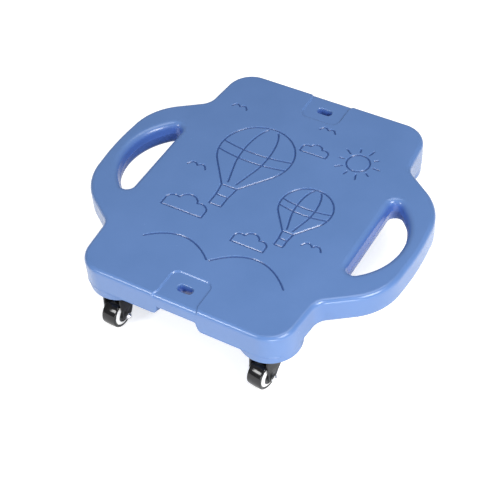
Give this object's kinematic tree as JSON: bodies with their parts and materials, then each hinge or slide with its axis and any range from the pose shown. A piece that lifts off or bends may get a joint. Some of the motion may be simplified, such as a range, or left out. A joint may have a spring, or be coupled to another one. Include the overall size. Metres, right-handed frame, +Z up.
{
  "type": "scooter board",
  "caption": "Low moulded sit-on scooter board with two D-shaped hand openings, rope slots front and back, and swivel casters.",
  "frame": {"origin": "on the floor, under the middle of the deck", "axes": "+X from the left grip to the right grip, +Y from the front edge to the back edge, +Z up"},
  "size_m": [0.4318, 0.4, 0.11],
  "materials": {
    "deck_blue": "satin moulded polyethylene",
    "zinc_steel": "bright zinc plated sheet",
    "bright_steel": "bright plated",
    "black_fork": "black, semi-gloss",
    "tyre_black": "glossy black tread",
    "core_white": "white moulded core",
    "bush_black": "black moulded bush"
  },
  "bodies": {
    "deck": {"deck": "deck_blue", "front_left_mount_plate": "zinc_steel", "front_left_kingpin": "bright_steel", "front_left_upper_race": "zinc_steel", "front_left_plate_screw_1": "bright_steel", "front_left_plate_screw_2": "bright_steel", "front_left_plate_screw_3": "bright_steel", "front_left_plate_screw_4": "bright_steel", "front_right_mount_plate": "zinc_steel", "front_right_kingpin": "bright_steel", "front_right_upper_race": "zinc_steel", "front_right_plate_screw_1": "bright_steel", "front_right_plate_screw_2": "bright_steel", "front_right_plate_screw_3": "bright_steel", "front_right_plate_screw_4": "bright_steel", "back_left_mount_plate": "zinc_steel", "back_left_kingpin": "bright_steel", "back_left_upper_race": "zinc_steel", "back_left_plate_screw_1": "bright_steel", "back_left_plate_screw_2": "bright_steel", "back_left_plate_screw_3": "bright_steel", "back_left_plate_screw_4": "bright_steel", "back_right_mount_plate": "zinc_steel", "back_right_kingpin": "bright_steel", "back_right_upper_race": "zinc_steel", "back_right_plate_screw_1": "bright_steel", "back_right_plate_screw_2": "bright_steel", "back_right_plate_screw_3": "bright_steel", "back_right_plate_screw_4": "bright_steel"},
    "front_left_swivel": {"front_left_fork": "black_fork", "front_left_axle_bolt": "bright_steel", "front_left_axle_nut": "bright_steel"},
    "front_left_wheel": {"front_left_tyre": "tyre_black", "front_left_wheel_core": "core_white", "front_left_bush_left": "bush_black", "front_left_bush_right": "bush_black"},
    "front_right_swivel": {"front_right_fork": "black_fork", "front_right_axle_bolt": "bright_steel", "front_right_axle_nut": "bright_steel"},
    "front_right_wheel": {"front_right_tyre": "tyre_black", "front_right_wheel_core": "core_white", "front_right_bush_left": "bush_black", "front_right_bush_right": "bush_black"},
    "back_left_swivel": {"back_left_fork": "black_fork", "back_left_axle_bolt": "bright_steel", "back_left_axle_nut": "bright_steel"},
    "back_left_wheel": {"back_left_tyre": "tyre_black", "back_left_wheel_core": "core_white", "back_left_bush_left": "bush_black", "back_left_bush_right": "bush_black"},
    "back_right_swivel": {"back_right_fork": "black_fork", "back_right_axle_bolt": "bright_steel", "back_right_axle_nut": "bright_steel"},
    "back_right_wheel": {"back_right_tyre": "tyre_black", "back_right_wheel_core": "core_white", "back_right_bush_left": "bush_black", "back_right_bush_right": "bush_black"}
  },
  "joints": [
    {"name": "front_left_swivel_turn", "type": "hinge", "parent": "deck", "child": "front_left_swivel", "pos_m": [-0.10388, -0.1606, 0.0567], "axis": [0, 0, 1], "continuous": true},
    {"name": "front_left_wheel_roll", "type": "hinge", "parent": "front_left_swivel", "child": "front_left_wheel", "pos_m": [-0.10465, -0.17958, 0.0195], "axis": [0.9992, -0.0401, 0], "continuous": true},
    {"name": "front_right_swivel_turn", "type": "hinge", "parent": "deck", "child": "front_right_swivel", "pos_m": [0.10388, -0.1606, 0.0567], "axis": [0, 0, 1], "continuous": true},
    {"name": "front_right_wheel_roll", "type": "hinge", "parent": "front_right_swivel", "child": "front_right_wheel", "pos_m": [0.10157, -0.17946, 0.0195], "axis": [0.9925, -0.1219, 0], "continuous": true},
    {"name": "back_left_swivel_turn", "type": "hinge", "parent": "deck", "child": "back_left_swivel", "pos_m": [-0.10388, 0.1606, 0.0567], "axis": [0, 0, 1], "continuous": true},
    {"name": "back_left_wheel_roll", "type": "hinge", "parent": "back_left_swivel", "child": "back_left_wheel", "pos_m": [-0.10388, 0.1416, 0.0195], "axis": [1, 0, 0], "continuous": true},
    {"name": "back_right_swivel_turn", "type": "hinge", "parent": "deck", "child": "back_right_swivel", "pos_m": [0.10388, 0.1606, 0.0567], "axis": [0, 0, 1], "continuous": true},
    {"name": "back_right_wheel_roll", "type": "hinge", "parent": "back_right_swivel", "child": "back_right_wheel", "pos_m": [0.10388, 0.1416, 0.0195], "axis": [1, 0, 0], "continuous": true}
  ]
}
